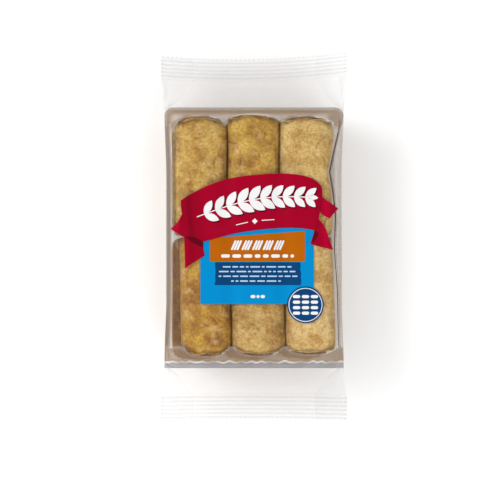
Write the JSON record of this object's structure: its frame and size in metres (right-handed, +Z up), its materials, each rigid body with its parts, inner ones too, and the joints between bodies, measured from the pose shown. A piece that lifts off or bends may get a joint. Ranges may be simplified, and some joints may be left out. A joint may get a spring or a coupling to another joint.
{
  "type": "packed sausage rolls",
  "caption": "Sealed clear flow wrap pack of small baked sausage rolls in a clear tray, lying flat, with a plain colour print on its front and crimped ends.",
  "frame": {"origin": "on the surface the pack lies on, under the middle of its outline", "axes": "+X to the right across the pack as its front is read, +Y along the pack towards the print's upper edge, +Z up out of the printed front"},
  "size_m": [0.1264, 0.2514, 0.0508],
  "materials": {
    "clear_film": "clear gloss film over golden brown pastry"
  },
  "bodies": {
    "root": {"sealed_pack": "clear_film"}
  },
  "joints": []
}
